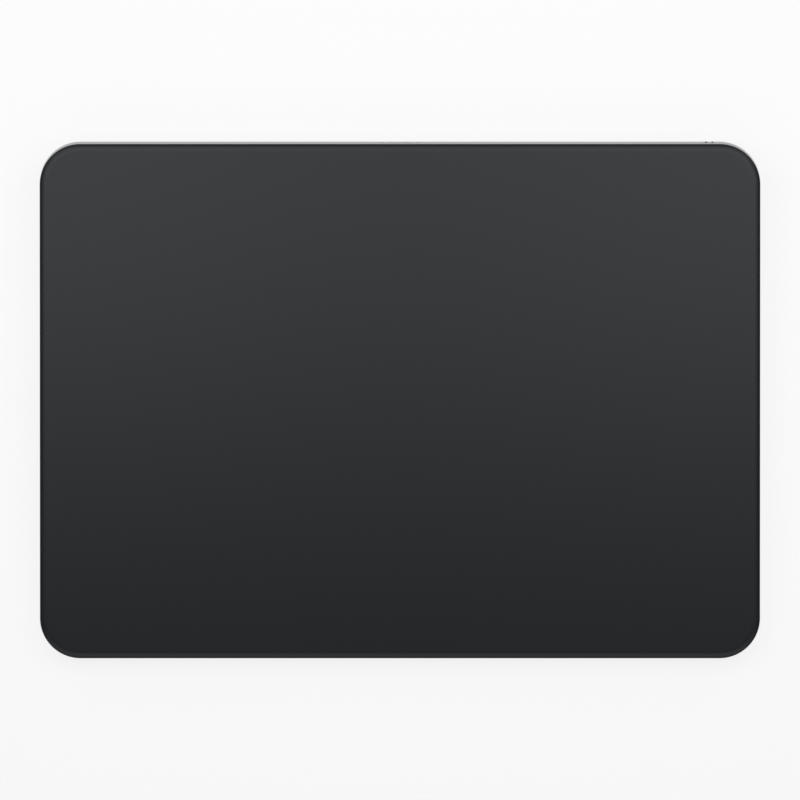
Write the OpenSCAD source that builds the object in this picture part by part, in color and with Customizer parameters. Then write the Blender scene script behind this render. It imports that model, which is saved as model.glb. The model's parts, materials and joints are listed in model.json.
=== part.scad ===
// Wedge-shaped desktop trackpad. A glass touch plate floats on four strain-sensing
// leaf flexures over a shallow aluminium tub, which holds a haptic actuator, a battery
// and a logic board with the charge port and the power switch on its rear edge.
// Millimetres. +Z is up, the user sits at -Y, and the origin is on the table, under the middle.
// Pieces of the touch plate, the walls and the boards are drawn in a frame that lies on the
// sloping touch surface: x from the middle, y from the front edge, z up from the glass top.

/* [Overall] */
// Width of the touch surface, left to right
plate_w = 160; // [150:1:190]
// Depth of the touch surface along its slope
plate_d = 114.5; // [112:0.5:130]
// Height of the touch surface above the table at its front edge
front_h = 4.9; // [4.8:0.1:6]
// Height of the touch surface above the table at its rear edge
rear_h = 10.9; // [10.4:0.1:13]
// Corner radius seen from above
corner_r = 9; // [8:0.5:13]

/* [Glass] */
// Thickness of the glass
glass_t = 1.1; // [0.9:0.05:1.2]
// Radius of the soft roll-off along the glass edge
edge_soft_r = 3; // [2:0.1:4]
// Slope where the roll-off meets the nose of the edge, in degrees
edge_soft_a = 30; // [20:1:35]
// Radius of the nose of the edge
edge_nose_r = 0.4; // [0.25:0.05:0.5]
// Chamfer under the nose
edge_chamfer = 0.15; // [0.1:0.05:0.2]

/* [Touch stack] */
// Thickness of the adhesive film under the glass
bond_t = 0.1; // [0.05:0.05:0.2]
// Thickness of the sensor board
sensor_t = 0.6; // [0.5:0.1:0.8]
// Distance from the glass edge to the sensor board's edge
sensor_margin = 4; // [3:0.5:6]
// Corner radius of the sensor board
sensor_r = 5; // [3:0.5:7]
// Thickness of the elastomer shear pads
pad_t = 0.4; // [0.3:0.05:0.5]
// Radius of a shear pad
pad_r = 4.5; // [3:0.25:5]
// Thickness of the carrier frame
carrier_t = 0.4; // [0.3:0.05:0.5]
// Depth of the carrier's front and rear strips
carrier_strip = 12; // [10:0.5:14]
// Width of the carrier's side bars
carrier_side = 6; // [4:0.5:7]
// Corner radius of the carrier
carrier_r = 3; // [1:0.5:5]
// Travel of the touch plate when it is pressed
press_travel = 0.2; // [0.1:0.05:0.2]
// Travel of the touch plate to either side of its middle in a haptic pulse
haptic_travel = 0.1; // [0.05:0.05:0.15]

/* [Flexures] */
// Thickness of a leaf flexure
leaf_t = 0.4; // [0.3:0.05:0.5]
// Distance from a leaf's root screw to its tip rivet
leaf_len = 18; // [14:0.5:22]
// Distance from the side edge of the glass to the root screws
leaf_inset = 14; // [12:0.5:18]
// Distance from the front edge of the glass to the front flexures
leaf_front = 16; // [15:0.5:20]
// Distance from the rear edge of the glass to the rear flexures
leaf_rear = 22; // [21:0.5:26]
// Radius of the leaf round its root screw
leaf_root_r = 4.5; // [3.5:0.25:5]
// Radius of the leaf round its tip rivet
leaf_tip_r = 3.5; // [2.5:0.25:4]
// Width of the leaf's sensing neck
leaf_neck_w = 4; // [3:0.25:5]
// Thickness of a strain gauge
gauge_t = 0.08; // [0.05:0.01:0.12]

/* [Housing] */
// Wall thickness of the tub
wall_t = 1.8; // [1.4:0.1:2.2]
// Thickness of the tub's floor
floor_t = 0.7; // [0.6:0.05:0.8]
// Gap between the glass and the tub's rim
rim_gap = 0.3; // [0.25:0.05:0.4]
// Overhang of the glass past the tub's walls
overhang = 0.02; // [0:0.01:0.2]
// Radius of the tub's lower outer edge
base_edge_r = 0.8; // [0.4:0.1:1]
// Width of the metal border round the base cover
base_border = 2.4; // [2:0.1:4]
// Radius of the bosses under the flexures
boss_r = 2.6; // [2.2:0.1:3]

/* [Base] */
// Thickness of the base cover
cover_t = 0.6; // [0.5:0.05:0.7]
// Thickness of the film that holds the base cover
cover_bond_t = 0.1; // [0.05:0.05:0.15]
// Height of the feet below the base cover
foot_h = 0.5; // [0.3:0.05:0.7]
// Depth to which a foot is let into the base cover
foot_seat = 0.25; // [0.1:0.05:0.35]
// Radius of a foot
foot_r = 5; // [3:0.5:7]
// Distance from the edges of the glass to the middle of a foot
foot_inset = 13; // [10:0.5:18]

/* [Haptic actuator] */
// Thickness of the actuator's bracket
bracket_t = 0.4; // [0.3:0.05:0.5]
// Distance between the middles of the core's legs
leg_pitch = 13; // [11:0.5:15]
// Width of a core leg
leg_w = 6; // [4:0.25:7]
// Length of a core leg
leg_len = 7; // [6:0.25:9]
// Depth of the core's yoke
yoke_d = 4; // [3:0.25:5]
// Winding thickness round a leg
winding_t = 0.55; // [0.4:0.05:0.6]
// Air gap that is left between the legs and the armature at the end of a pulse
pole_clear = 0.25; // [0.2:0.05:0.4]
// Thickness of the armature's blade
armature_t = 2; // [1:0.25:2.5]
// Depth of the armature's flange
armature_flange = 5; // [3.5:0.25:6]

/* [Battery] */
// Width of the battery cell
battery_w = 88; // [60:1:96]
// Depth of the battery cell
battery_d = 36; // [28:0.5:37]
// Space over the battery when the touch plate is pressed
battery_clear = 0.5; // [0.3:0.05:0.8]
// Thickness of the tape under the battery
tape_t = 0.15; // [0.1:0.05:0.2]
// Depth of the battery's protection board
guard_d = 2.6; // [2:0.1:3]

/* [Logic board] */
// Distance from the charge port to the logic board's left end
logic_left = 58; // [56:1:66]
// Depth of the logic board
logic_d = 11.2; // [10.5:0.1:11.4]
// Thickness of the logic board
logic_t = 0.8; // [0.6:0.1:1]
// Gap between the logic board and the rear wall
logic_rear_gap = 1.4; // [1.2:0.1:1.6]
// How far the logic board runs into the rear right corner's curve
logic_end = 2; // [1:0.25:3]

/* [Charge port] */
// Outer width of the port's shell
port_w = 8.94; // [8:0.02:9.4]
// Outer height of the port's shell
port_h = 3.16; // [2.8:0.02:3.4]
// Wall of the port's shell
port_wall = 0.3; // [0.2:0.02:0.4]
// Length of the port's shell
port_len = 7.35; // [6.5:0.05:8]
// Width of the contact tongue
tongue_w = 6.69; // [6:0.01:7]
// Thickness of the contact tongue
tongue_t = 0.7; // [0.6:0.02:0.8]
// Contacts on each face of the tongue
contact_count = 12; // [6:1:12]

/* [Power switch] */
// Distance from the rear right corner's curve to the middle of the switch slot
switch_side = 3.3; // [3:0.1:4.5]
// Travel of the power slider
switch_travel = 2; // [1.5:0.1:2.2]
// Length of the slider's knob
knob_len = 2; // [1.9:0.1:2.4]
// Height of the slot for the knob
slot_h = 1.9; // [1.6:0.1:2]
// How far the knob's lips stand out of the rear wall
knob_proud = 0.22; // [0.1:0.02:0.4]
// Width of the finger groove between the lips
groove_w = 0.95; // [0.8:0.05:1.4]

/* [Hidden] */
$fn = 48;

// Clearances
screw_fit = 0.05;
slide_fit = 0.1;
cover_fit = 0.1;
stop_fit = 0.05;
run_gap = 0.3;
lead_gap = 1.1;

// Fasteners
leaf_screw_r = 0.75;
board_screw_r = 0.7;
screw_head_r = 1.3;
screw_head_h = 0.5;
rivet_r = 0.9;
rivet_head_r = 1.5;
rivet_head_h = 0.3;
nut_r = 1.7;
nut_h = 0.4;
boss_root = 0.3;
board_boss_r = screw_head_r + 0.55;

// How far a cutter runs past what it cuts
past = 1;

// Slope of the touch surface, and levels above the table
tilt = asin((rear_h - front_h) / plate_d);
base_z = foot_h;
recess_z = base_z + cover_t + cover_bond_t;
floor_z = recess_z + floor_t;
tray_z = base_z + base_edge_r;

// Levels in the sloping frame, measured from the glass top
z_glass = -glass_t;
z_bond = z_glass - bond_t;
z_board = z_bond - sensor_t;
z_pad = z_board - pad_t;
z_carrier = z_pad - carrier_t;
z_leaf = z_carrier - leaf_t;
z_rim = z_glass - rim_gap;

// Section of the glass edge
edge_w = edge_soft_r * sin(edge_soft_a) + edge_nose_r * (1 - sin(edge_soft_a));
nose_z = (edge_soft_r - edge_nose_r) * cos(edge_soft_a) - edge_soft_r;

// Where the tub's walls are, in the sloping frame
tub_w = plate_w - 2 * overhang;
tub_d = plate_d - 2 * overhang;
tub_r = corner_r - overhang;
wall_out_y = plate_d - overhang;
wall_in_y = wall_out_y - wall_t;

// The part's front and rear ends, measured from the origin of the sloping frame,
// which lies as far forward as puts the middle of the part at y = 0
front_end = -nose_z * sin(tilt);
rear_end = wall_out_y / cos(tilt) + (front_h - tray_z) * tan(tilt);
front_y = -(front_end + rear_end) / 2;

// How far the tub's rounded foot stands inside the walls above it
tray_step = 0.03;
tray_w = tub_w - 2 * tray_step;
tray_y0 = section_y(overhang, tray_z) + tray_step;
tray_d = section_y(wall_out_y, tray_z) - tray_step - tray_y0;

// Outline of the base cover's recess
recess_w = tray_w - 2 * base_border;
recess_d = tray_d - 2 * base_border;
recess_r = tub_r - tray_step - base_border;

// Corners of the moving stack: 0 front left, 1 front right, 2 rear left, 3 rear right
CORNERS = ["front_left", "front_right", "rear_left", "rear_right"];
root_x = plate_w / 2 - leaf_inset;
tip_x = root_x - leaf_len;
function side(i) = i % 2 == 0 ? -1 : 1;
function leaf_y(i) = i < 2 ? leaf_front : plate_d - leaf_rear;
function foot_y(i) = i < 2 ? foot_inset : plate_d - foot_inset;

// Shear pads sit on the carrier inboard of the tip rivets
pad_x = tip_x - 2 * pad_r;
carrier_x = tip_x + leaf_tip_r;

// Over-travel stops stand between the flexure roots and the side walls
stop_r = 1.5;
stop_t = 0.25;
stop_gap = 1.1;
stop_x = root_x + leaf_root_r + stop_gap + stop_r;
z_stop = z_board - press_travel - stop_fit;

// Logic board, on its bosses at the rear of the tub
logic_y1 = wall_in_y - logic_rear_gap;
logic_y0 = logic_y1 - logic_d;
logic_x1 = plate_w / 2 - corner_r + logic_end;
logic_x0 = -logic_left;
logic_lift = 0.25;
z_logic = local_z(logic_y0, floor_z) + logic_lift;
z_logic_top = z_logic + logic_t;

// Along the logic board from its left end: antenna, radio shield, flat cable, port, power shield
place_gap = 1.5;
antenna_w = 8;
antenna_d = 2.6;
antenna_h = 1.2;
antenna_x = logic_x0 + place_gap;
antenna_y0 = logic_y1 - place_gap - antenna_d;
SHIELDS = ["radio", "power"];
SHIELD_W = [16, 18];
port_room = 5.5;
SHIELD_X = [antenna_x + antenna_w + place_gap, port_w / 2 + port_room];
shield_h = 1.5;
shield_t = 0.2;
shield_y0 = logic_y0 + 4;
shield_d = 6.4;

// Flat cables and their sockets
flex_t = 0.15;
flex_w = 12;
flex_run = 1;
socket_h = 1;
socket_d = 3.2;
socket_w = flex_w + 2;
socket_y0 = logic_y0 + 3;
socket_back = 1;
flex_x = SHIELD_X[0] + SHIELD_W[0] + place_gap + socket_w / 2;
flex_top = z_board - socket_h / 2;
flex_low = z_logic_top + socket_h / 2;
flex_bend_r = (flex_top - flex_low) / 2;

// Ribs beside the battery, and the haptic lead that runs outside them to its socket
rib_t = 1;
rib_h = 1.5;
rib_gap = 0.4;
lead_w = 4;
lead_x = battery_w / 2 + rib_gap + rib_t + lead_gap + lead_w / 2;
lead_socket_w = lead_w + 2;
lead_socket_d = 2.4;
lead_socket_y0 = logic_y0 + 0.8;

// Screws of the logic board, with the battery's socket beside the third
logic_screw_y = logic_y0 + 2.2;
lead_screw_x = lead_x - lead_socket_w / 2 - place_gap - screw_head_r;
LOGIC_SCREWS = [
    logic_x0 + antenna_w / 2,
    flex_x + socket_w / 2 + place_gap + screw_head_r,
    lead_screw_x,
    logic_x1 - board_boss_r - place_gap
];
battery_socket_w = 6;
battery_socket_x = lead_screw_x - screw_head_r - place_gap - battery_socket_w / 2;

// Chips and passives on the logic board
chip_w = 5;
chip_h = 0.8;
passive_l = 1;
passive_w = 0.5;
passive_h = 0.5;
passive_pitch = 0.9;

// Charge port
z_port = z_logic_top + port_h / 2;
port_sunk = 0.15;
port_y1 = wall_out_y - port_sunk;
port_y0 = port_y1 - port_len;
port_back = 2;
tongue_tip = 0.8;
port_bore_w = port_w - 2 * port_wall;
port_bore_h = port_h - 2 * port_wall;

// Power switch
switch_x = plate_w / 2 - corner_r - switch_side;
slot_len = knob_len + switch_travel + 2 * slide_fit;
knob_x = switch_x + switch_travel / 2;
knob_h = slot_h - 2 * slide_fit;
switch_h = 2.2;
switch_w = 7;
switch_d = 3.5;
switch_y0 = logic_y1 - run_gap - switch_d;
z_switch = z_logic_top + switch_h / 2;
shuttle_t = 0.5;
shuttle_lap = 0.5;
shuttle_h = slot_h + 2 * shuttle_lap;
shuttle_gap = 0.2;
shuttle_y1 = wall_in_y - shuttle_gap;
shuttle_x0 = switch_x - slot_len / 2 - shuttle_lap;
shuttle_x1 = switch_x + slot_len / 2 + shuttle_lap + switch_travel;
stylus_w = 1.2;
stylus_h = 0.8;
stylus_depth = 1.3;
groove_depth = 0.05;

// Battery, flat on the floor in front of the logic board. A cell that reaches under the carrier's
// side bars is thinner than one that fits between them
guard_h = 1.6;
guard_end = 2;
guard_w = 2 * (battery_socket_x + battery_socket_w / 2 + guard_end);
guard_y1 = logic_y0 - run_gap;
guard_y0 = guard_y1 - guard_d;
cell_y0 = guard_y0 - battery_d;
cell_z = floor_z + tape_t;
cell_r = 1.5;
cell_roof = battery_w / 2 + run_gap > carrier_x - carrier_side ? z_carrier : z_board;
cell_t = plate_level(cell_y0, cell_roof - press_travel) - battery_clear - cell_z;
tape_inset = 3;

// Haptic actuator, in front of the battery
arm_room = 1.2;
arm_y1 = cell_y0 - arm_room;
arm_y0 = arm_y1 - armature_flange;
flange_t = 0.5;
leg_y1 = arm_y0 - pole_clear - haptic_travel;
leg_y0 = leg_y1 - leg_len;
yoke_y0 = leg_y0 - yoke_d;
coil_end = 0.5;
bracket_front = 4;
bracket_end = 7;
bracket_y0 = yoke_y0 - bracket_front;
bracket_y1 = leg_y1 - coil_end;
core_x = leg_pitch + leg_w / 2;
bracket_x = core_x + bracket_end;
bracket_lift = 0.2;
z_bracket = local_z(bracket_y0, floor_z) + bracket_lift;
z_bracket_top = z_bracket + bracket_t;
coil_h = z_board - press_travel - run_gap - z_bracket_top;
z_leg = z_bracket_top + winding_t;
leg_h = coil_h - 2 * winding_t;
COILS = ["left", "middle", "right"];
bracket_screw_x = core_x + bracket_end / 2;
bracket_screw_inset = 2;
BRACKET_SCREW_Y = [bracket_y0 + bracket_screw_inset, bracket_y1 - bracket_screw_inset];

// Chips under the sensor board, behind the carrier's front strip: x, y, width, depth
chip_row_y = leaf_front + carrier_strip / 2 + 2 * place_gap;
CONTROLLER = [-24, chip_row_y, 9, 9];
PROCESSOR = [4, chip_row_y, 7, 7];

// Height in the sloping frame, at slope distance y, of a level z above the table
function local_z(y, z) = (z - front_h - y * sin(tilt)) / cos(tilt);

// Height above the table, at slope distance y, of a level z in the sloping frame
function plate_level(y, z) = front_h + y * sin(tilt) + z * cos(tilt);

// Distance behind the table's middle of the sloping plane y, at a level z above the table
function section_y(y, z) = front_y + y / cos(tilt) + (front_h - z) * tan(tilt);

// The sloping frame of the touch surface
module tilted() {
    translate([0, front_y, front_h]) rotate([tilt, 0, 0]) children();
}

// What lies above a level over the table
module keep_above(z) {
    reach = 2 * (plate_w + plate_d);
    intersection() {
        children();
        translate([-reach / 2, -reach / 2, z]) cube(reach);
    }
}

// The frame of the tub's floor: y from the front edge of the glass, z up from the table
module on_floor() {
    translate([0, front_y, 0]) children();
}

// A span of length w from a, and one about its middle c
function span(a, w) = [a, a + w];
function about(c, w) = [c - w / 2, c + w / 2];

// A box between two corners
module block(x, y, z) {
    translate([x[0], y[0], z[0]]) cube([x[1] - x[0], y[1] - y[0], z[1] - z[0]]);
}

// A box as wide as w about the middle x
module bar(x, w, y, z) {
    block(about(x, w), y, z);
}

// A 2D rectangle with round corners, centred in x, from y = 0
module round_rect(w, d, r) {
    translate([-w / 2, r]) square([w, d - 2 * r]);
    translate([r - w / 2, 0]) square([w - 2 * r, d]);
    for (sx = [-1, 1], y = [r, d - r]) translate([sx * (w / 2 - r), y]) circle(r);
}

// A plate with round corners, from y = 0, between two heights
module round_plate(w, d, r, z) {
    translate([0, 0, z[0]]) linear_extrude(z[1] - z[0]) round_rect(w, d, r);
}

// A 2D slot with round ends, centred
module stadium(w, h) {
    square([w - h, h], center = true);
    for (s = [-1, 1]) translate([s * (w - h) / 2, 0]) circle(d = h);
}

// A slot with round ends, drawn out along y
module slot_along_y(x, z, w, h, y) {
    translate([x, y[1], z]) rotate([90, 0, 0]) linear_extrude(y[1] - y[0]) stadium(w, h);
}

// A 2D outline in y and z, drawn out along x
module along_x(x) {
    translate([x[0], 0, 0]) rotate([90, 0, 90]) linear_extrude(x[1] - x[0]) children();
}

// A slab with round corners of radius r, from y = 0, whose edge has the section of the child:
// its x runs outward from the corner's centre and its y is height
module edged_slab(w, d, r, z) {
    block([r - w / 2, w / 2 - r], [r, d - r], z);
    for (m = [0, 1]) {
        mirror([m, 0, 0]) translate([w / 2 - r, d - r, 0])
            rotate([90, 0, 0]) linear_extrude(d - 2 * r) children();
        translate([0, m * d, 0]) mirror([0, m, 0]) {
            along_slab_end(w, d, r) children();
            for (k = [0, 1]) mirror([k, 0, 0]) translate([w / 2 - r, d - r, 0])
                rotate_extrude(angle = 90) children();
        }
    }
}

// The straight run at the far end of an edged slab
module along_slab_end(w, d, r) {
    translate([r - w / 2, d - r, 0]) rotate([90, 0, 90]) linear_extrude(w - 2 * r) children();
}

// An upright pin in the sloping frame, between two heights
module pin(x, y, r, z) {
    translate([x, y, z[0]]) cylinder(r = r, h = z[1] - z[0]);
}

// A boss that stands on the tub's floor square to the touch surface
module boss(x, y, r, top) {
    keep_above(floor_z - boss_root) tilted() pin(x, y, r, [top - rear_h, top]);
}

// Level of the seat for a flexure screw's head, reached from under the floor
function leaf_screw_seat(y) = local_z(y, recess_z) + slide_fit + screw_head_h;

// Level of a blind screw hole's end inside the floor
function blind_end(y) = local_z(y, floor_z) - floor_t / 2;

// Tub

// Edge section of the tub's rounded foot
module tray_section() {
    r = tub_r - tray_step;
    square([r - base_edge_r, base_edge_r]);
    translate([r - base_edge_r, base_edge_r]) intersection() {
        circle(base_edge_r);
        translate([0, -base_edge_r]) square(base_edge_r);
    }
}

module tub_outside() {
    keep_above(tray_z) tilted() translate([0, overhang, 0])
        round_plate(tub_w, tub_d, tub_r, [-2 * rear_h, z_rim]);
    translate([0, tray_y0, base_z])
        edged_slab(tray_w, tray_d, tub_r - tray_step, [0, base_edge_r]) tray_section();
}

module tub_pocket() {
    keep_above(floor_z) tilted() translate([0, overhang + wall_t, 0])
        round_plate(tub_w - 2 * wall_t, tub_d - 2 * wall_t, tub_r - wall_t, [-2 * rear_h, 0]);
}

module tub_bosses() {
    for (i = [0:3]) {
        boss(side(i) * root_x, leaf_y(i), boss_r, z_leaf);
        boss(side(i) * stop_x, leaf_y(i), stop_r + run_gap, z_stop - stop_t);
    }
    for (x = LOGIC_SCREWS) boss(x, logic_screw_y, board_boss_r, z_logic);
    for (s = [-1, 1], y = BRACKET_SCREW_Y) boss(s * bracket_screw_x, y, board_boss_r, z_bracket);
    on_floor() for (s = [-1, 1]) bar(s * (battery_w / 2 + rib_gap + rib_t / 2), rib_t,
        [cell_y0 + cell_r, guard_y0 - cell_r], [floor_z - boss_root, floor_z + rib_h]);
}

module tub_holes() {
    translate([0, tray_y0 + base_border, 0])
        round_plate(recess_w, recess_d, recess_r, [base_z - past, recess_z]);
    tilted() {
        for (i = [0:3]) {
            pin(side(i) * root_x, leaf_y(i), leaf_screw_r + screw_fit, [-2 * rear_h, 0]);
            pin(side(i) * root_x, leaf_y(i), screw_head_r + slide_fit,
                [-2 * rear_h, leaf_screw_seat(leaf_y(i))]);
        }
        for (x = LOGIC_SCREWS) pin(x, logic_screw_y, board_screw_r + screw_fit,
            [blind_end(logic_screw_y), 0]);
        for (s = [-1, 1], y = BRACKET_SCREW_Y)
            pin(s * bracket_screw_x, y, board_screw_r + screw_fit, [blind_end(y), 0]);
        slot_along_y(0, z_port, port_w + 2 * slide_fit, port_h + 2 * slide_fit, [logic_y0, plate_d + past]);
        slot_along_y(switch_x, z_switch, slot_len, slot_h, [logic_y0, plate_d + past]);
    }
}

module housing() {
    color("silver") difference() {
        union() {
            difference() {
                tub_outside();
                tub_pocket();
            }
            tub_bosses();
        }
        tub_holes();
    }
}

// Base

// A sheet that fills the recess under the tub
module cover_sheet(z) {
    translate([0, tray_y0 + base_border + cover_fit, 0])
        round_plate(recess_w - 2 * cover_fit, recess_d - 2 * cover_fit, recess_r - cover_fit, z);
}

module base_cover() {
    color([0.6, 0.61, 0.62]) difference() {
        cover_sheet(span(base_z, cover_t));
        for (i = [0:3]) foot_place(i) cylinder(r = foot_r + screw_fit, h = foot_h + foot_seat);
    }
}

module cover_bond() {
    color([0.1, 0.1, 0.1]) cover_sheet(span(base_z + cover_t, cover_bond_t));
}

module foot_place(i) {
    translate([side(i) * (plate_w / 2 - foot_inset), front_y + foot_y(i), 0]) children();
}

module foot(i) {
    bevel = 0.25;
    h = foot_h + foot_seat;
    color([0.42, 0.43, 0.44]) foot_place(i) rotate_extrude()
        polygon([[0, 0], [foot_r - bevel, 0], [foot_r, bevel], [foot_r, h], [0, h]]);
}

// Touch plate

// Edge section of the glass: a soft roll-off, a round nose and a chamfer below it
module glass_section() {
    flat = corner_r - edge_w;
    meet = flat + edge_soft_r * sin(edge_soft_a);
    translate([0, z_glass]) square([flat, glass_t]);
    intersection() {
        translate([flat, -edge_soft_r]) circle(edge_soft_r);
        translate([flat, z_glass]) square([meet - flat, glass_t]);
    }
    intersection() {
        translate([corner_r - edge_nose_r, nose_z]) circle(edge_nose_r);
        translate([meet, nose_z]) square([corner_r - meet, edge_nose_r]);
    }
    polygon([[meet, z_glass], [corner_r - edge_chamfer, z_glass],
             [corner_r, z_glass + edge_chamfer], [corner_r, nose_z], [meet, nose_z]]);
}

module glass_top() {
    color([0.13, 0.13, 0.14]) tilted()
        edged_slab(plate_w, plate_d, corner_r, [z_glass, 0]) glass_section();
}

// A sheet with the sensor board's outline
module sensor_sheet(z) {
    tilted() translate([0, sensor_margin, 0])
        round_plate(plate_w - 2 * sensor_margin, plate_d - 2 * sensor_margin, sensor_r, z);
}

module glass_bond() {
    color([0.05, 0.05, 0.05]) sensor_sheet([z_bond, z_glass]);
}

module sensor_board() {
    color([0.05, 0.2, 0.12]) sensor_sheet([z_board, z_bond]);
}

// A chip under the sensor board
module board_chip(c) {
    color([0.1, 0.1, 0.11]) tilted()
        block(span(c[0], c[2]), span(c[1], c[3]), [z_board - chip_h, z_board]);
}

module sensor_passives() {
    color([0.55, 0.45, 0.35]) tilted() for (c = [CONTROLLER, PROCESSOR], k = [0:5])
        block(span(c[0] + c[2] + place_gap, passive_l), span(c[1] + passive_pitch * k, passive_w),
            [z_board - passive_h, z_board]);
}

module sensor_flex_socket() {
    color([0.85, 0.82, 0.74]) tilted() difference() {
        bar(flex_x, socket_w, span(socket_y0, socket_d), [z_board - socket_h, z_board]);
        bar(flex_x, flex_w + 2 * slide_fit, span(socket_y0 + socket_back, socket_d),
            about(flex_top, flex_t + 2 * screw_fit));
    }
}

module carrier_frame() {
    y0 = leaf_y(0) - carrier_strip / 2;
    y1 = leaf_y(2) + carrier_strip / 2;
    color([0.62, 0.63, 0.65]) tilted() difference() {
        translate([0, y0, 0]) round_plate(2 * carrier_x, y1 - y0, carrier_r, [z_carrier, z_pad]);
        translate([0, y0 + carrier_strip, 0]) round_plate(2 * (carrier_x - carrier_side),
            y1 - y0 - 2 * carrier_strip, carrier_r, [z_carrier - past, z_pad + past]);
        for (i = [0:3])
            pin(side(i) * tip_x, leaf_y(i), rivet_r + screw_fit, [z_carrier - past, z_pad + past]);
    }
}

module tip_rivets() {
    color([0.75, 0.75, 0.76]) tilted() for (i = [0:3]) {
        pin(side(i) * tip_x, leaf_y(i), rivet_r, [z_leaf - rivet_head_h, z_pad]);
        pin(side(i) * tip_x, leaf_y(i), rivet_head_r, [z_leaf - rivet_head_h, z_leaf]);
    }
}

module shear_pad(i) {
    color([0.25, 0.32, 0.4]) tilted() pin(side(i) * pad_x, leaf_y(i), pad_r, [z_pad, z_board]);
}

// Flexures

module flexure(i) {
    color([0.7, 0.7, 0.72]) tilted() difference() {
        translate([side(i) * root_x, leaf_y(i), z_leaf]) mirror([side(i) > 0 ? 1 : 0, 0, 0])
            linear_extrude(leaf_t) {
                circle(leaf_root_r);
                translate([leaf_len, 0]) circle(leaf_tip_r);
                translate([0, -leaf_neck_w / 2]) square([leaf_len, leaf_neck_w]);
            }
        pin(side(i) * root_x, leaf_y(i), leaf_screw_r + screw_fit, [z_leaf - past, z_carrier + past]);
        pin(side(i) * tip_x, leaf_y(i), rivet_r + screw_fit, [z_leaf - past, z_carrier + past]);
    }
}

module strain_gauges() {
    gauge_x = root_x - (leaf_root_r + leaf_len - leaf_tip_r) / 2;
    gauge_len = 4.5;
    gauge_w = leaf_neck_w - 0.8;
    color([0.8, 0.6, 0.25]) tilted() for (i = [0:3])
        bar(side(i) * gauge_x, gauge_len, about(leaf_y(i), gauge_w), span(z_carrier, gauge_t));
}

module flexure_nuts() {
    color([0.72, 0.68, 0.55]) tilted() for (i = [0:3]) difference() {
        pin(side(i) * root_x, leaf_y(i), nut_r, [z_carrier, z_carrier + nut_h]);
        pin(side(i) * root_x, leaf_y(i), leaf_screw_r + screw_fit, [z_carrier - past, z_carrier + past]);
    }
}

module flexure_screws() {
    color([0.6, 0.6, 0.62]) tilted() for (i = [0:3])
        screw(side(i) * root_x, leaf_y(i), leaf_screw_r,
            leaf_screw_seat(leaf_y(i)), z_carrier + nut_h, -1);
}

// A screw from its head's seat to its tip, with its head below (-1) or above (1) the seat
module screw(x, y, r, seat, tip, head) {
    face = seat + head * screw_head_h;
    drive_w = 0.35;
    drive_depth = 0.25;
    pin(x, y, r, [min(seat, tip), max(seat, tip)]);
    difference() {
        pin(x, y, screw_head_r, [min(seat, face), max(seat, face)]);
        translate([x, y, face]) for (a = [0, 90]) rotate(a)
            cube([1.5 * screw_head_r, drive_w, 2 * drive_depth], center = true);
    }
}

module stop_pads() {
    color([0.12, 0.12, 0.12]) tilted() for (i = [0:3])
        pin(side(i) * stop_x, leaf_y(i), stop_r, [z_stop - stop_t, z_stop]);
}

// Haptic actuator

module haptic_bracket() {
    color([0.66, 0.67, 0.69]) tilted() difference() {
        union() {
            block([-bracket_x, bracket_x], [bracket_y0, bracket_y1], [z_bracket, z_bracket_top]);
            block([-core_x, core_x], [yoke_y0, leg_y0], [z_bracket, z_leg]);
        }
        for (s = [-1, 1], y = BRACKET_SCREW_Y)
            pin(s * bracket_screw_x, y, board_screw_r + screw_fit, [z_bracket - past, z_bracket_top + past]);
    }
}

module haptic_core() {
    color([0.35, 0.36, 0.38]) tilted() {
        block([-core_x, core_x], [yoke_y0, leg_y0], span(z_leg, leg_h));
        for (k = [-1:1]) bar(k * leg_pitch, leg_w, [leg_y0, leg_y1], span(z_leg, leg_h));
    }
}

module haptic_coil(k) {
    x = (k - 1) * leg_pitch;
    y = [leg_y0 + coil_end, leg_y1 - coil_end];
    color([0.72, 0.4, 0.2]) tilted() difference() {
        bar(x, leg_w + 2 * winding_t, y, span(z_bracket_top, coil_h));
        bar(x, leg_w, [leg_y0, leg_y1], span(z_leg, leg_h));
    }
}

module haptic_armature() {
    color([0.45, 0.46, 0.48]) tilted() {
        block([-core_x, core_x], [arm_y0, arm_y1], [z_board - flange_t, z_board]);
        block([-core_x, core_x], [arm_y0, arm_y0 + armature_t], [z_leg, z_board]);
    }
}

module haptic_screws() {
    color([0.6, 0.6, 0.62]) tilted() for (s = [-1, 1], y = BRACKET_SCREW_Y)
        screw(s * bracket_screw_x, y, board_screw_r, z_bracket_top, blind_end(y) + screw_fit, 1);
}

// Flat cable from the coils along the floor, up the front of the logic board and into its socket
module haptic_lead() {
    x = [bracket_x + run_gap, lead_x + lead_w / 2];
    top = plate_level(lead_socket_y0, z_logic_top + socket_h / 2);
    riser_y = section_y(logic_y0, top) - front_y - run_gap;
    socket_y = section_y(lead_socket_y0, top) - front_y;
    color([0.75, 0.5, 0.15]) on_floor() {
        translate([0, 0, floor_z]) linear_extrude(flex_t) {
            translate([x[0], yoke_y0]) square([x[1] - x[0], lead_w]);
            translate([x[1] - lead_w, yoke_y0]) square([lead_w, riser_y - yoke_y0]);
        }
        bar(lead_x, lead_w, [riser_y - flex_t, riser_y], [floor_z, top]);
        bar(lead_x, lead_w, [riser_y - flex_t, socket_y], [top - flex_t, top]);
    }
}

module haptic_lead_socket() {
    color([0.85, 0.82, 0.74]) tilted() bar(lead_x, lead_socket_w,
        span(lead_socket_y0, lead_socket_d), span(z_logic_top, socket_h));
}

// Battery

module battery_cell() {
    color([0.2, 0.2, 0.22]) on_floor() translate([0, cell_y0, 0])
        round_plate(battery_w, battery_d, cell_r, span(cell_z, cell_t));
}

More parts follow.
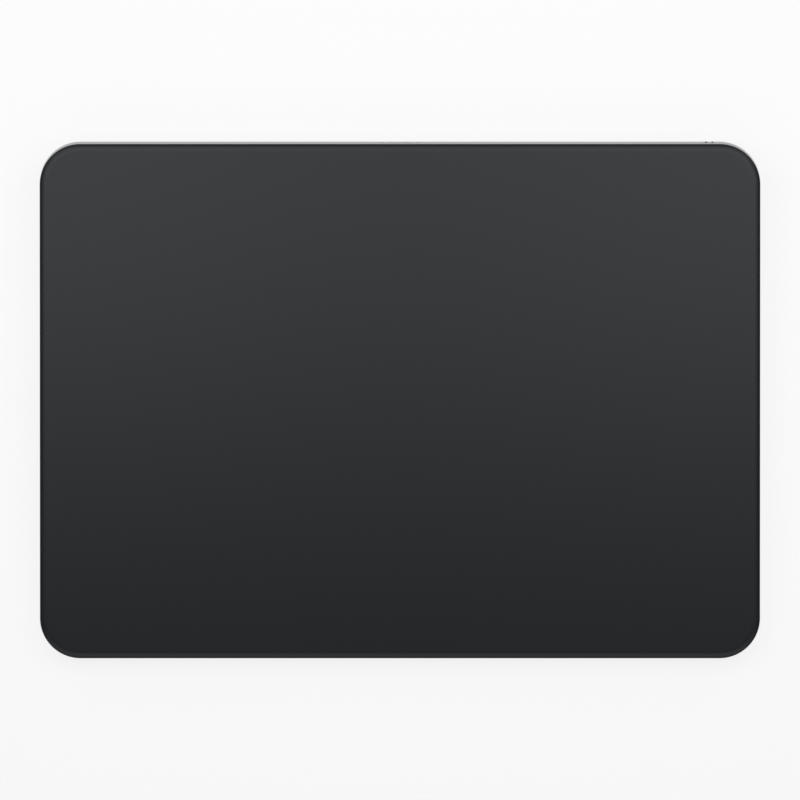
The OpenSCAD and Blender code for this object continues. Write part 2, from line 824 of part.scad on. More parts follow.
module battery_guard_board() {
    color([0.05, 0.25, 0.14]) on_floor() bar(0, guard_w, [guard_y0, guard_y1], span(cell_z, guard_h));
}

module battery_tape() {
    color([0.9, 0.9, 0.88]) on_floor() for (s = [-1, 1])
        bar(s * battery_w / 4, battery_w / 3,
            [cell_y0 + tape_inset, guard_y0 - tape_inset], [floor_z, cell_z]);
}

// Flat cable from the protection board to its socket on the logic board
module battery_lead() {
    lead = span(cell_z + guard_h, flex_t);
    color([0.75, 0.5, 0.15]) on_floor() bar(battery_socket_x, battery_socket_w - 1,
        [guard_y0 + run_gap, section_y(lead_socket_y0, lead[1]) - front_y], lead);
}

module battery_socket() {
    color([0.85, 0.82, 0.74]) tilted() bar(battery_socket_x, battery_socket_w,
        span(lead_socket_y0, lead_socket_d), span(z_logic_top, socket_h));
}

// Logic board

module logic_board() {
    color([0.04, 0.16, 0.3]) tilted() difference() {
        block([logic_x0, logic_x1], [logic_y0, logic_y1], [z_logic, z_logic_top]);
        for (x = LOGIC_SCREWS)
            pin(x, logic_screw_y, board_screw_r + screw_fit, [z_logic - past, z_logic_top + past]);
    }
}

module logic_screws() {
    color([0.6, 0.6, 0.62]) tilted() for (x = LOGIC_SCREWS)
        screw(x, logic_screw_y, board_screw_r, z_logic_top, blind_end(logic_screw_y) + screw_fit, 1);
}

module logic_chips() {
    color([0.1, 0.1, 0.11]) tilted() {
        for (x = [battery_socket_x, switch_x - switch_w / 2 - place_gap - chip_w / 2])
            bar(x, chip_w, span(shield_y0, chip_w), span(z_logic_top, chip_h));
    }
}

module logic_passives() {
    color([0.55, 0.45, 0.35]) tilted() for (k = [0:7])
        block(span(flex_x + socket_w / 2 + place_gap + k * passive_pitch, passive_w),
            span(socket_y0 + place_gap, passive_l), span(z_logic_top, passive_h));
}

module shield(k) {
    color([0.78, 0.78, 0.8]) tilted() difference() {
        block(span(SHIELD_X[k], SHIELD_W[k]), span(shield_y0, shield_d), span(z_logic_top, shield_h));
        block(span(SHIELD_X[k] + shield_t, SHIELD_W[k] - 2 * shield_t),
            span(shield_y0 + shield_t, shield_d - 2 * shield_t),
            [z_logic_top - past, z_logic_top + shield_h - shield_t]);
    }
}

module logic_flex_socket() {
    color([0.85, 0.82, 0.74]) tilted() difference() {
        bar(flex_x, socket_w, span(socket_y0, socket_d), span(z_logic_top, socket_h));
        bar(flex_x, flex_w + 2 * slide_fit, span(socket_y0 + socket_back, socket_d),
            about(flex_low, flex_t + 2 * screw_fit));
    }
}

// Flat cable from the sensor board down to the logic board, in one half turn
module sensor_flex() {
    y0 = socket_y0 + socket_back + slide_fit;
    y1 = socket_y0 + socket_d + flex_run;
    color([0.75, 0.5, 0.15]) tilted() along_x(about(flex_x, flex_w)) {
        for (z = [flex_top, flex_low]) translate([y0, z - flex_t / 2]) square([y1 - y0, flex_t]);
        translate([y1, (flex_top + flex_low) / 2]) difference() {
            circle(flex_bend_r + flex_t / 2);
            circle(flex_bend_r - flex_t / 2);
            translate([-2 * flex_bend_r, -2 * flex_bend_r]) square([2 * flex_bend_r, 4 * flex_bend_r]);
        }
    }
}

module antenna() {
    color([0.9, 0.9, 0.86]) tilted()
        block(span(antenna_x, antenna_w), span(antenna_y0, antenna_d), span(z_logic_top, antenna_h));
}

// Charge port

module charge_port_shell() {
    color([0.8, 0.8, 0.82]) tilted() difference() {
        slot_along_y(0, z_port, port_w, port_h, [port_y0, port_y1]);
        slot_along_y(0, z_port, port_bore_w, port_bore_h, [port_y0 - past, port_y1 + past]);
    }
}

module charge_port_insulator() {
    color([0.06, 0.06, 0.06]) tilted() slot_along_y(0, z_port,
        port_bore_w - 2 * screw_fit, port_bore_h - 2 * screw_fit, span(port_y0, port_back));
}

module charge_port_tongue() {
    color([0.06, 0.06, 0.06]) tilted()
        bar(0, tongue_w, [port_y0 + port_back, port_y1 - tongue_tip], about(z_port, tongue_t));
}

module charge_port_contacts() {
    contact_t = 0.06;
    contact_w = 0.26;
    contact_pitch = 0.5;
    contact_tip = 0.6;
    color([0.85, 0.68, 0.3]) tilted() for (k = [0:contact_count - 1], face = [-1, 1])
        bar((k - (contact_count - 1) / 2) * contact_pitch, contact_w,
            [port_y0 + port_back, port_y1 - tongue_tip - contact_tip],
            about(z_port + face * (tongue_t + contact_t) / 2, contact_t));
}

// Power switch

module power_switch_body() {
    color([0.12, 0.12, 0.13]) tilted() difference() {
        bar(switch_x, switch_w, span(switch_y0, switch_d), span(z_logic_top, switch_h));
        bar(switch_x, stylus_w + switch_travel + 4 * slide_fit,
            span(switch_y0 + switch_d - stylus_depth - run_gap, switch_d),
            about(z_switch, stylus_h + 2 * slide_fit));
    }
}

module switch_stylus() {
    color([0.15, 0.15, 0.16]) tilted() bar(knob_x, stylus_w,
        [switch_y0 + switch_d - stylus_depth, shuttle_y1 - shuttle_t], about(z_switch, stylus_h));
}

// The knob passes through the wall's slot from a wider shuttle behind it, which keeps the slot closed
module power_knob() {
    color([0.14, 0.14, 0.15]) tilted() difference() {
        union() {
            block([shuttle_x0, shuttle_x1], span(shuttle_y1 - shuttle_t, shuttle_t),
                about(z_switch, shuttle_h));
            slot_along_y(knob_x, z_switch, knob_len, knob_h, [shuttle_y1, wall_out_y + knob_proud]);
        }
        bar(knob_x, groove_w, span(wall_out_y - groove_depth, past), about(z_switch, 2 * slot_h));
    }
}

housing();
base_cover();
cover_bond();
for (i = [0:3]) {
    foot(i);
    shear_pad(i);
    flexure(i);
}
glass_top();
glass_bond();
sensor_board();
board_chip(CONTROLLER);  // touch_controller
board_chip(PROCESSOR);  // force_processor
sensor_passives();
sensor_flex_socket();
carrier_frame();
tip_rivets();
strain_gauges();
flexure_nuts();
flexure_screws();
stop_pads();
haptic_bracket();
haptic_core();
haptic_armature();
haptic_screws();
haptic_lead();
haptic_lead_socket();
for (k = [0:2]) haptic_coil(k);
battery_cell();
battery_guard_board();
battery_tape();
battery_lead();
battery_socket();
logic_board();
logic_chips();
logic_passives();
logic_screws();
sensor_flex();
logic_flex_socket();
antenna();
for (k = [0:1]) shield(k);
charge_port_shell();
charge_port_insulator();
charge_port_tongue();
charge_port_contacts();
power_switch_body();
power_knob();
switch_stylus();
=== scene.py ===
"""Looks of a wedge-shaped desktop trackpad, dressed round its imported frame. Metres, +Z up."""
import json
import math

import bmesh
import bpy
from mathutils import Matrix, Vector


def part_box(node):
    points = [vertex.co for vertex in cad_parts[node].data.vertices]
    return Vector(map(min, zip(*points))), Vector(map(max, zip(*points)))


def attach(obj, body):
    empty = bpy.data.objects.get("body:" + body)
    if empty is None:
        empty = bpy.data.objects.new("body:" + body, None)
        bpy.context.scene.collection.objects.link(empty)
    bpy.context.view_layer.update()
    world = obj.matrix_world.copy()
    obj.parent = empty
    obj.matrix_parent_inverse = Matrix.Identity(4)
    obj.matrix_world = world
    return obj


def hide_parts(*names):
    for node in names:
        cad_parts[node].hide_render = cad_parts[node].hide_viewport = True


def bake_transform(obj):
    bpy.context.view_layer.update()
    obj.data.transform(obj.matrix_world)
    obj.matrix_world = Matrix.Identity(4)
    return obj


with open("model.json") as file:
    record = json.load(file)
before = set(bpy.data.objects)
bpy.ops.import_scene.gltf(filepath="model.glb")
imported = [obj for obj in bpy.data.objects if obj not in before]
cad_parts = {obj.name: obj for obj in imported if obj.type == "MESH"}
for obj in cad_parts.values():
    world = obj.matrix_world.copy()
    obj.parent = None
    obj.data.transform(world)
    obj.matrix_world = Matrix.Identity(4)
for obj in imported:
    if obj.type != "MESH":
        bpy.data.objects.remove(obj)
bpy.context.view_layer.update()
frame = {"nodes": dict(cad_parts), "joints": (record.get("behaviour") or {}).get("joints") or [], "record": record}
scene = bpy.context.scene
record = frame["record"]

MM = 0.001
SIDES = (("left", -1), ("right", 1))
CORNERS = [(f"{end}_{side}", sign) for end in ("front", "rear") for side, sign in SIDES]
SLOTS = {part["node"]: part["material_slot"] for part in record["subparts"]}
BODIES = {node: body for body, nodes in record["behaviour"]["bodies"].items() for node in nodes}

# The touch surface is tilted about x, square to the way it is pressed
press_axis = next(Vector(j["axis"]) for j in frame["joints"] if j["name"] == "touch_press")
tilt = Matrix.Rotation(math.atan2(-press_axis.y, press_axis.z), 4, "X")


def tilted_box(node):
    """Lowest and highest corner of a node, measured along the axes of the touch surface."""
    level = tilt.inverted()
    points = [level @ v.co for v in frame["nodes"][node].data.vertices]
    low = Vector([min(p[k] for p in points) for k in range(3)])
    high = Vector([max(p[k] for p in points) for k in range(3)])
    return low, high


# Patterns, with their sizes in millimetres

# Length of one wave of the wave texture at a scale of 1
WAVE_LENGTH = math.pi / 10


def object_space(tree, scale):
    """Places in the part's own frame, times a scale for each axis."""
    coords = tree.nodes.new("ShaderNodeTexCoord")
    mapping = tree.nodes.new("ShaderNodeMapping")
    mapping.inputs["Scale"].default_value = scale
    tree.links.new(coords.outputs["Object"], mapping.inputs["Vector"])
    return mapping.outputs["Vector"]


def grain(tree, size, detail=2.0, stretch=(1, 1, 1)):
    """Noise with grains of that size, longer by stretch along each axis."""
    noise = tree.nodes.new("ShaderNodeTexNoise")
    noise.inputs["Scale"].default_value = 1
    noise.inputs["Detail"].default_value = detail
    tree.links.new(object_space(tree, [1 / (size * MM * s) for s in stretch]), noise.inputs["Vector"])
    return noise.outputs["Fac"]


def cells(tree, size, output="Distance", metric="EUCLIDEAN"):
    """Cells of that size: the distance from each cell's middle, or a random value for each cell."""
    voronoi = tree.nodes.new("ShaderNodeTexVoronoi")
    voronoi.distance = metric
    voronoi.inputs["Scale"].default_value = 1
    tree.links.new(object_space(tree, [1 / (size * MM)] * 3), voronoi.inputs["Vector"])
    return voronoi.outputs[output]


def stripes(tree, pitch, axis):
    """A smooth wave along an axis, from 0 to 1 and back in each pitch."""
    wave = tree.nodes.new("ShaderNodeTexWave")
    wave.bands_direction = axis
    wave.inputs["Scale"].default_value = WAVE_LENGTH
    wave.inputs["Distortion"].default_value = 0
    tree.links.new(object_space(tree, [1 / (pitch * MM)] * 3), wave.inputs["Vector"])
    return wave.outputs["Fac"]


def spread(tree, factor, low, high, start=0.3, end=0.7):
    """A stretch of a pattern's range drawn out between two values."""
    node = tree.nodes.new("ShaderNodeMapRange")
    node.inputs["From Min"].default_value = start
    node.inputs["From Max"].default_value = end
    node.inputs["To Min"].default_value = low
    node.inputs["To Max"].default_value = high
    tree.links.new(factor, node.inputs["Value"])
    return node.outputs["Result"]


def combine(tree, operation, first, second):
    """Two patterns put together by a Math operation."""
    node = tree.nodes.new("ShaderNodeMath")
    node.operation = operation
    tree.links.new(first, node.inputs[0])
    tree.links.new(second, node.inputs[1])
    return node.outputs["Value"]


def tones(tree, factor, first, last):
    """Two colours along a pattern's range, each given as (position, colour)."""
    ramp = tree.nodes.new("ShaderNodeValToRGB")
    for element, (position, colour) in zip(ramp.color_ramp.elements, (first, last)):
        element.position = position
        element.color = (*colour, 1)
    tree.links.new(factor, ramp.inputs["Fac"])
    return ramp.outputs["Color"]


def shade(colour, factor):
    """A colour made darker or paler, up to white."""
    return tuple(min(1, c * factor) for c in colour)


def mottled(tree, factor, colour, dark, pale, start=0.3, end=0.7):
    """A colour that goes from one of its shades to another over a stretch of a pattern's range."""
    return tones(tree, factor, (start, shade(colour, dark)), (end, shade(colour, pale)))


def lay_over(tree, factor, below, above):
    """One colour laid over another where a pattern is 1."""
    node = tree.nodes.new("ShaderNodeMix")
    node.data_type = "RGBA"
    tree.links.new(factor, node.inputs["Factor"])
    tree.links.new(below, node.inputs["A"])
    tree.links.new(above, node.inputs["B"])
    return node.outputs["Result"]


# Materials

TRACK_PITCH = 0.55
PAD_GOLD = (0.8, 0.6, 0.28)
COPPER_TRACK = (0.45, 0.2, 0.06)


class Finish:
    """A material with its shader's sockets at hand."""

    def __init__(self, name, **constants):
        self.material = bpy.data.materials.new(name)
        self.material.use_nodes = True
        self.tree = self.material.node_tree
        self.shader = self.tree.nodes["Principled BSDF"]
        for socket, value in constants.items():
            self.shader.inputs[socket.replace("_", " ")].default_value = value

    def feed(self, socket, source):
        """Lets a pattern or a colour drive a socket of the shader."""
        self.tree.links.new(source, self.shader.inputs[socket])

    def bump(self, height, depth):
        """Lets a height between 0 and 1 stand that deep on the surface, in millimetres."""
        node = self.tree.nodes.new("ShaderNodeBump")
        node.inputs["Strength"].default_value = 1
        node.inputs["Distance"].default_value = depth * MM
        self.tree.links.new(height, node.inputs["Height"])
        self.feed("Normal", node.outputs["Normal"])


def etched_glass(name, colour, tint):
    """Black-backed glass with an etched satin face."""
    finish = Finish(name, Specular_Tint=(*tint, 1))
    tree = finish.tree
    etch = grain(tree, size=0.12)
    finish.feed("Base Color", mottled(tree, etch, colour, dark=0.9, pale=1.1))
    finish.feed("Roughness", spread(tree, etch, low=0.37, high=0.41))
    finish.bump(etch, depth=0.0001)
    return finish.material


def blasted_metal(name, colour, edge):
    """Bead-blasted and anodised: fine dimples, a hardly seen wander of tone, a duller glancing sheen."""
    finish = Finish(name, Metallic=1.0, Specular_Tint=(edge, edge, edge, 1))
    tree = finish.tree
    dimples = cells(tree, size=0.09)
    wander = grain(tree, size=30, detail=1)
    finish.feed("Base Color", mottled(tree, wander, colour, dark=0.985, pale=1.015))
    finish.feed("Roughness", spread(tree, dimples, low=0.5, high=0.4, start=0, end=1))
    finish.bump(dimples, depth=0.0012)
    return finish.material


def moulded(name, colour, rough, size, depth, cloud=0.05):
    """Moulded plastic or rubber: a fine spark-eroded texture and slightly clouded colour."""
    finish = Finish(name, Specular_IOR_Level=0.4)
    tree = finish.tree
    texture = combine(tree, "MULTIPLY", cells(tree, size), grain(tree, size=2.5 * size))
    clouds = grain(tree, size=5, detail=3)
    colours = mottled(tree, clouds, colour, dark=1 - cloud, pale=1 + cloud, start=0.25, end=0.75)
    sheen = spread(tree, texture, low=rough - 0.06, high=rough + 0.06, start=0, end=0.5)
    finish.feed("Base Color", colours)
    finish.feed("Roughness", sheen)
    finish.bump(texture, depth)
    return finish.material


def brushed(name, colour, rough, stretch, depth=0.002):
    """Rolled or drawn metal: streaks along the way that it was worked."""
    finish = Finish(name, Metallic=1.0)
    tree = finish.tree
    streaks = grain(tree, size=0.06, detail=3, stretch=stretch)
    stain = grain(tree, size=4, detail=3)
    tone = combine(tree, "MULTIPLY", streaks, stain)
    finish.feed("Base Color", mottled(tree, tone, colour, dark=0.8, pale=0.95, start=0.1, end=0.4))
    finish.feed("Roughness", spread(tree, streaks, low=rough + 0.08, high=rough - 0.08))
    finish.bump(streaks, depth)
    return finish.material


def solder_mask(name, colour):
    """A circuit board: lacquer over runs of tracks that change direction, with plated through-holes."""
    finish = Finish(name, Coat_Weight=0.5, Coat_Roughness=0.12)
    tree = finish.tree
    blocks = cells(tree, size=7, output="Color", metric="CHEBYCHEV")
    patch = spread(tree, blocks, low=0, high=1, start=0.49, end=0.51)
    rest = spread(tree, patch, low=1, high=0, start=0, end=1)
    along = combine(tree, "MULTIPLY", stripes(tree, TRACK_PITCH, "X"), patch)
    across = combine(tree, "MULTIPLY", stripes(tree, TRACK_PITCH, "Y"), rest)
    tracks = spread(tree, combine(tree, "ADD", along, across), low=0, high=1, start=0.45, end=0.6)
    hole = cells(tree, size=2.4)
    plated = spread(tree, hole, low=1, high=0, start=0.09, end=0.11)
    lacquer = mottled(tree, tracks, colour, dark=0.8, pale=1.5, start=0, end=1)
    # Each pad is gold round a dark middle, which is painted shade standing in for the open hole
    gold_pads_and_hole_shade = tones(tree, hole, (0.04, shade(colour, 0.2)), (0.05, PAD_GOLD))
    finish.feed("Base Color", lay_over(tree, plated, lacquer, gold_pads_and_hole_shade))
    finish.feed("Metallic", plated)
    finish.feed("Roughness", spread(tree, grain(tree, size=0.4), low=0.32, high=0.45))
    finish.bump(tracks, depth=0.012)
    return finish.material


def winding(name, colour):
    """Enamelled wire laid turn beside turn."""
    finish = Finish(name, Metallic=1.0, Coat_Weight=0.7, Coat_Roughness=0.15)
    tree = finish.tree
    turns = stripes(tree, pitch=0.17, axis="Y")
    draw_marks = grain(tree, size=0.1, stretch=(6, 1, 1))
    # Darker between the turns: painted shade in the grooves between the wires
    finish.feed("Base Color", mottled(tree, turns, colour, dark=0.3, pale=1.1, start=0.05, end=0.6))
    finish.feed("Roughness", spread(tree, draw_marks, low=0.25, high=0.4))
    finish.bump(turns, depth=0.05)
    return finish.material


def laminated(name, colour):
    """A stack of sheared iron sheets, darker in the seams between them."""
    finish = Finish(name, Metallic=1.0)
    tree = finish.tree
    sheets = spread(tree, stripes(tree, pitch=0.3, axis="Z"), low=0.35, high=1, start=0.05, end=0.35)
    burr = grain(tree, size=0.15, detail=3, stretch=(8, 8, 1))
    tone = combine(tree, "MULTIPLY", sheets, burr)
    finish.feed("Base Color", mottled(tree, tone, colour, dark=0.4, pale=1.2, start=0.1, end=0.55))
    finish.feed("Roughness", spread(tree, burr, low=0.4, high=0.6))
    finish.bump(tone, depth=0.02)
    return finish.material


def film_cable(name, colour, pitch, axis, depth=0.012):
    """Polyimide film over copper tracks side by side."""
    finish = Finish(name, Coat_Weight=0.4, Coat_Roughness=0.2)
    tree = finish.tree
    tracks = spread(tree, stripes(tree, pitch, axis), low=0, high=1, start=0.4, end=0.55)
    cloud = grain(tree, size=1.5, detail=3)
    bare = mottled(tree, cloud, colour, dark=0.85, pale=1.1)
    covered = mottled(tree, cloud, COPPER_TRACK, dark=0.9, pale=1.1)
    finish.feed("Base Color", lay_over(tree, tracks, bare, covered))
    finish.feed("Roughness", spread(tree, cloud, low=0.3, high=0.42))
    finish.bump(tracks, depth)
    return finish.material


def pouch_foil(name, colour):
    """The pouch of a flat cell: satin laminate with shallow wrinkles."""
    finish = Finish(name, Metallic=0.35)
    tree = finish.tree
    wrinkles = grain(tree, size=7, detail=4, stretch=(1, 2.5, 1))
    weave = grain(tree, size=0.12)
    # Paler on the crests of the wrinkles and darker in their troughs: painted highlight and painted shade
    finish.feed("Base Color", mottled(tree, wrinkles, colour, dark=0.85, pale=1.2))
    finish.feed("Roughness", spread(tree, weave, low=0.36, high=0.5))
    finish.bump(wrinkles, depth=0.1)
    return finish.material


COLOURS = {slot["slot"]: slot["base_color"][:3] for slot in record["materials"]}
COLOURS["glass"] = (0.0023, 0.0028, 0.0034)
COLOURS["aluminium"] = (0.58, 0.583, 0.588)
# The port's steel is darkened to 0.6 of its own colour: painted shade for the shaded mouth of the port
COLOURS["port_steel"] = shade(COLOURS["port_steel"], 0.6)

ALONG_X = (30, 1, 1)
ALONG_Y = (1, 30, 1)

FINISHES = {
    "glass": (etched_glass, dict(tint=(0.90, 0.95, 1.0))),
    "aluminium": (blasted_metal, dict(edge=0.6)),
    "base_plastic": (moulded, dict(rough=0.52, size=0.22, depth=0.006, cloud=0.012)),
    "rubber": (moulded, dict(rough=0.75, size=0.3, depth=0.012)),
    "adhesive": (moulded, dict(rough=0.6, size=0.5, depth=0.01)),
    "sensor_board": (solder_mask, {}),
    "logic_board": (solder_mask, {}),
    "chip": (moulded, dict(rough=0.55, size=0.06, depth=0.003)),
    "passive": (moulded, dict(rough=0.4, size=0.08, depth=0.003)),
    "socket": (moulded, dict(rough=0.45, size=0.12, depth=0.004)),
    "spring_steel": (brushed, dict(rough=0.3, stretch=ALONG_X)),
    "fastener": (brushed, dict(rough=0.35, stretch=(4, 4, 1), depth=0.004)),
    "elastomer": (moulded, dict(rough=0.7, size=0.12, depth=0.006)),
    "gauge": (film_cable, dict(pitch=0.28, axis="Y", depth=0.005)),
    "bracket_steel": (brushed, dict(rough=0.32, stretch=ALONG_Y)),
    "core_iron": (laminated, {}),
    "copper": (winding, {}),
    "flat_cable": (film_cable, dict(pitch=0.5, axis="X")),
    "battery_foil": (pouch_foil, {}),
    "antenna_ceramic": (moulded, dict(rough=0.35, size=0.08, depth=0.002)),
    "port_steel": (brushed, dict(rough=0.24, stretch=ALONG_Y, depth=0.001)),
    "port_plastic": (moulded, dict(rough=0.5, size=0.1, depth=0.004)),
    "contact_gold": (brushed, dict(rough=0.22, stretch=(1, 20, 1), depth=0.001)),
    "knob_plastic": (moulded, dict(rough=0.5, size=0.1, depth=0.005)),
}
MATERIALS = {slot: make(slot, COLOURS[slot], **values) for slot, (make, values) in FINISHES.items()}

for name, slot in SLOTS.items():
    data = frame["nodes"][name].data
    data.materials.clear()
    data.materials.append(MATERIALS[slot])


# Pieces

# Corners closer than WELD are one corner, and faces that meet at less than FLAT are one face
WELD = 0.001 * MM
FLAT = math.radians(0.5)

# Edges over SHARP are broken. Edges over CREASE, or over SHARP on a leaf, are shaded as sharp ones
SHARP = math.radians(30)
CREASE = math.radians(50)
BROKEN_EDGE_STEPS = 2
ROUND_PROFILE = 0.5


def add_piece(name, mesh, node):
    """Makes an object of a mesh, in place of a node and with its finish."""
    bmesh.ops.dissolve_degenerate(mesh, dist=WELD, edges=mesh.edges)
    data = bpy.data.meshes.new(name)
    mesh.to_mesh(data)
    mesh.free()
    node_normals = data.attributes.get("custom_normal")
    if node_normals:
        data.attributes.remove(node_normals)
    data.materials.append(MATERIALS[SLOTS[node]])
    piece = bpy.data.objects.new(name, data)
    scene.collection.objects.link(piece)
    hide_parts(node)
    return piece


def node_mesh(node):
    """A node's shape to work on, its corners welded and its flat faces whole."""
    mesh = bmesh.new()
    mesh.from_mesh(frame["nodes"][node].data)
    bmesh.ops.remove_doubles(mesh, verts=mesh.verts, dist=WELD)
    bmesh.ops.dissolve_limit(mesh, angle_limit=FLAT, verts=mesh.verts, edges=mesh.edges)
    return mesh


def smooth_faces(mesh, sharp=CREASE):
    """Shades a mesh smooth, apart from its edges over an angle."""
    for face in mesh.faces:
        face.smooth = True
    for edge in mesh.edges:
        edge.smooth = not edge.is_manifold or edge.calc_face_angle() < sharp


def soften(node, body, width):
    """A copy of a node whose sharp edges are rounded off by a small width, in millimetres."""
    mesh = node_mesh(node)
    edges = [e for e in mesh.edges if e.is_manifold and e.calc_face_angle() > SHARP]
    bmesh.ops.bevel(mesh, geom=edges, offset=width * MM, segments=BROKEN_EDGE_STEPS,
                    profile=ROUND_PROFILE, affect="EDGES", clamp_overlap=True)
    smooth_faces(mesh)
    piece = add_piece(f"{node}_softened", mesh, node)
    piece.modifiers.new("face_weights", "WEIGHTED_NORMAL").keep_sharp = True
    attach(piece, body)


# Glass plate

GLASS_SOFT_R = 3.0 * MM
GLASS_SOFT_A = math.radians(30)
GLASS_SOFT_STEPS = 14
GLASS_NOSE_R = 0.4 * MM
GLASS_NOSE_STEPS = 8
GLASS_CHAMFER = 0.15 * MM
GLASS_CORNER_R = 9.0 * MM
GLASS_CORNER_STEPS = 24
GLASS_SUPPORT = 0.3 * MM


def round_outline(width, depth, radius, inset, steps):
    """Points of a rectangle with round corners, from y = 0, drawn in by inset."""
    points = []
    r = radius - inset
    for k, (sx, sy) in enumerate([(1, 0), (1, 1), (-1, 1), (-1, 0)]):
        cx = sx * (width / 2 - radius)
        cy = depth - radius if sy else radius
        for i in range(steps + 1):
            a = math.radians(90 * (k - 1) + 90 * i / steps)
            points.append((cx + r * math.cos(a), cy + r * math.sin(a)))
    return points


def arc(centre, radius, start, end, steps):
    """Points (inset, height) on an arc between two angles, measured from straight outward."""
    angles = [start + (end - start) * i / steps for i in range(steps + 1)]
    return [(centre[0] - radius * math.cos(a), centre[1] + radius * math.sin(a)) for a in angles]


def skin(mesh, rings):
    """Joins rings of points into a closed, smooth skin."""
    loops = [[mesh.verts.new(p) for p in ring] for ring in rings]
    for lower, upper in zip(loops, loops[1:]):
        for i in range(len(lower)):
            j = (i + 1) % len(lower)
            mesh.faces.new((lower[i], lower[j], upper[j], upper[i]))
    mesh.faces.new(reversed(loops[0]))
    mesh.faces.new(loops[-1])
    for face in mesh.faces:
        face.smooth = True


def glass_section(thickness):
    """Edge of the glass from its underside to its flat: a chamfer, a round nose and a soft roll-off."""
    edge_w = GLASS_SOFT_R * math.sin(GLASS_SOFT_A) + GLASS_NOSE_R * (1 - math.sin(GLASS_SOFT_A))
    nose_z = (GLASS_SOFT_R - GLASS_NOSE_R) * math.cos(GLASS_SOFT_A) - GLASS_SOFT_R
    upward = math.pi / 2
    meeting = upward - GLASS_SOFT_A
    chamfer = [
        (GLASS_CHAMFER + GLASS_SUPPORT, -thickness),
        (GLASS_CHAMFER, -thickness),
        (0, GLASS_CHAMFER - thickness),
    ]
    nose = arc((GLASS_NOSE_R, nose_z), GLASS_NOSE_R, 0, meeting, GLASS_NOSE_STEPS)
    roll_off = arc((edge_w, -GLASS_SOFT_R), GLASS_SOFT_R, meeting, upward, GLASS_SOFT_STEPS)
    return chamfer + nose + roll_off[1:] + [(edge_w + GLASS_SUPPORT, 0)]


def glass_plate():
    """The touch surface, with a finely divided rolled edge."""
    low, high = tilted_box("glass_top")
    width, depth, thickness = high - low
    rings = []
    for inset, z in glass_section(thickness):
        outline = round_outline(width, depth, GLASS_CORNER_R, inset, GLASS_CORNER_STEPS)
        rings.append([(x, y, z) for x, y in outline])
    mesh = bmesh.new()
    skin(mesh, rings)
    mesh.transform(tilt @ Matrix.Translation((0, low.y, high.z)))
    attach(add_piece("glass_plate", mesh, "glass_top"), "touch_plate")


glass_plate()


# Feet

FOOT_STEPS = 72
FOOT_GROOVE_R = 3.6 * MM
FOOT_GROOVE_W = 0.25 * MM
FOOT_GROOVE_DEPTH = 0.08 * MM
FOOT_CORE_R = FOOT_GROOVE_R / 5
FOOT_EDGE_R = 0.25 * MM
FOOT_EDGE_STEPS = 6


def foot(corner):
    """A turned rubber foot with a moulded ring groove in its underside."""
    node = f"foot_{corner}"
    low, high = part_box(node)
    middle = (Vector(low) + Vector(high)) / 2
    r = (high[0] - low[0]) / 2
    height = high[2] - low[2]
    groove = [(FOOT_GROOVE_R + k * FOOT_GROOVE_W, depth * FOOT_GROOVE_DEPTH)
              for k, depth in ((-1, 0), (-0.5, 1), (0.5, 1), (1, 0))]
    edge_angles = [math.radians(90 * k / FOOT_EDGE_STEPS) for k in range(FOOT_EDGE_STEPS + 1)]
    edge = [(r - FOOT_EDGE_R * (1 - math.sin(a)), FOOT_EDGE_R * (1 - math.cos(a))) for a in edge_angles]
    profile = [(FOOT_CORE_R, 0)] + groove + edge + [(r, height), (FOOT_CORE_R, height)]
    turns = [math.tau * k / FOOT_STEPS for k in range(FOOT_STEPS)]
    rings = [[(middle.x + x * math.cos(a), middle.y + x * math.sin(a), low[2] + z) for a in turns]
             for x, z in profile]
    mesh = bmesh.new()
    skin(mesh, rings)
    smooth_faces(mesh)
    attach(add_piece(f"{node}_turned", mesh, node), "housing")


for corner, _ in CORNERS:
    foot(corner)


# Pieces that bend with the press and the haptic shake

ACROSS = Vector((1, 0, 0))
LEAF_ROOT_R = 4.5 * MM
LEAF_TIP_R = 3.5 * MM
LEAF_SPANS = 12
PAD_SPANS = 4


def cut(mesh, place, normal, **cleared):
    """Cuts a mesh with a plane, and clears what lies on a side of it if asked to."""
    everything = mesh.verts[:] + mesh.edges[:] + mesh.faces[:]
    bmesh.ops.bisect_plane(mesh, geom=everything, plane_co=place, plane_no=normal, **cleared)


def cut_across(mesh, normal, start, end, spans):
    """Divides a mesh into even spans between two places, so that it can bend there."""
    for k in range(1, spans):
        cut(mesh, Vector(start).lerp(Vector(end), k / spans), normal)


def neck_ends(corner, side):
    """Where a leaf's free neck leaves its root and meets its tip."""
    low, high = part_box(f"flexure_{corner}")
    middle = (Vector(low) + Vector(high)) / 2
    outer = high[0] if side > 0 else low[0]
    inner = low[0] if side > 0 else high[0]
    root = Vector((outer - side * 2 * LEAF_ROOT_R, middle.y, middle.z))
    tip = Vector((inner + side * 2 * LEAF_TIP_R, middle.y, middle.z))
    return root, tip


def leaf(corner, side):
    """A leaf flexure that bends along its neck, between the housing and the carrier."""
    node = f"flexure_{corner}"
    root, tip = neck_ends(corner, side)
    mesh = node_mesh(node)
    cut_across(mesh, ACROSS, root, tip, LEAF_SPANS)
    smooth_faces(mesh, SHARP)
    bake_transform(add_piece(f"{node}_leaf", mesh, node))


def gauge(corner, side):
    """The strain gauge on a leaf's neck, which bends with it."""
    root, tip = neck_ends(corner, side)
    mesh = node_mesh("strain_gauges")
    reach = (root - tip).length
    middle = (root + tip) / 2
    others = [v for v in mesh.verts if (v.co - middle).length > reach]
    bmesh.ops.delete(mesh, geom=others, context="VERTS")
    cut_across(mesh, ACROSS, root, tip, LEAF_SPANS)
    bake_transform(add_piece(f"strain_gauge_{corner}", mesh, "strain_gauges"))


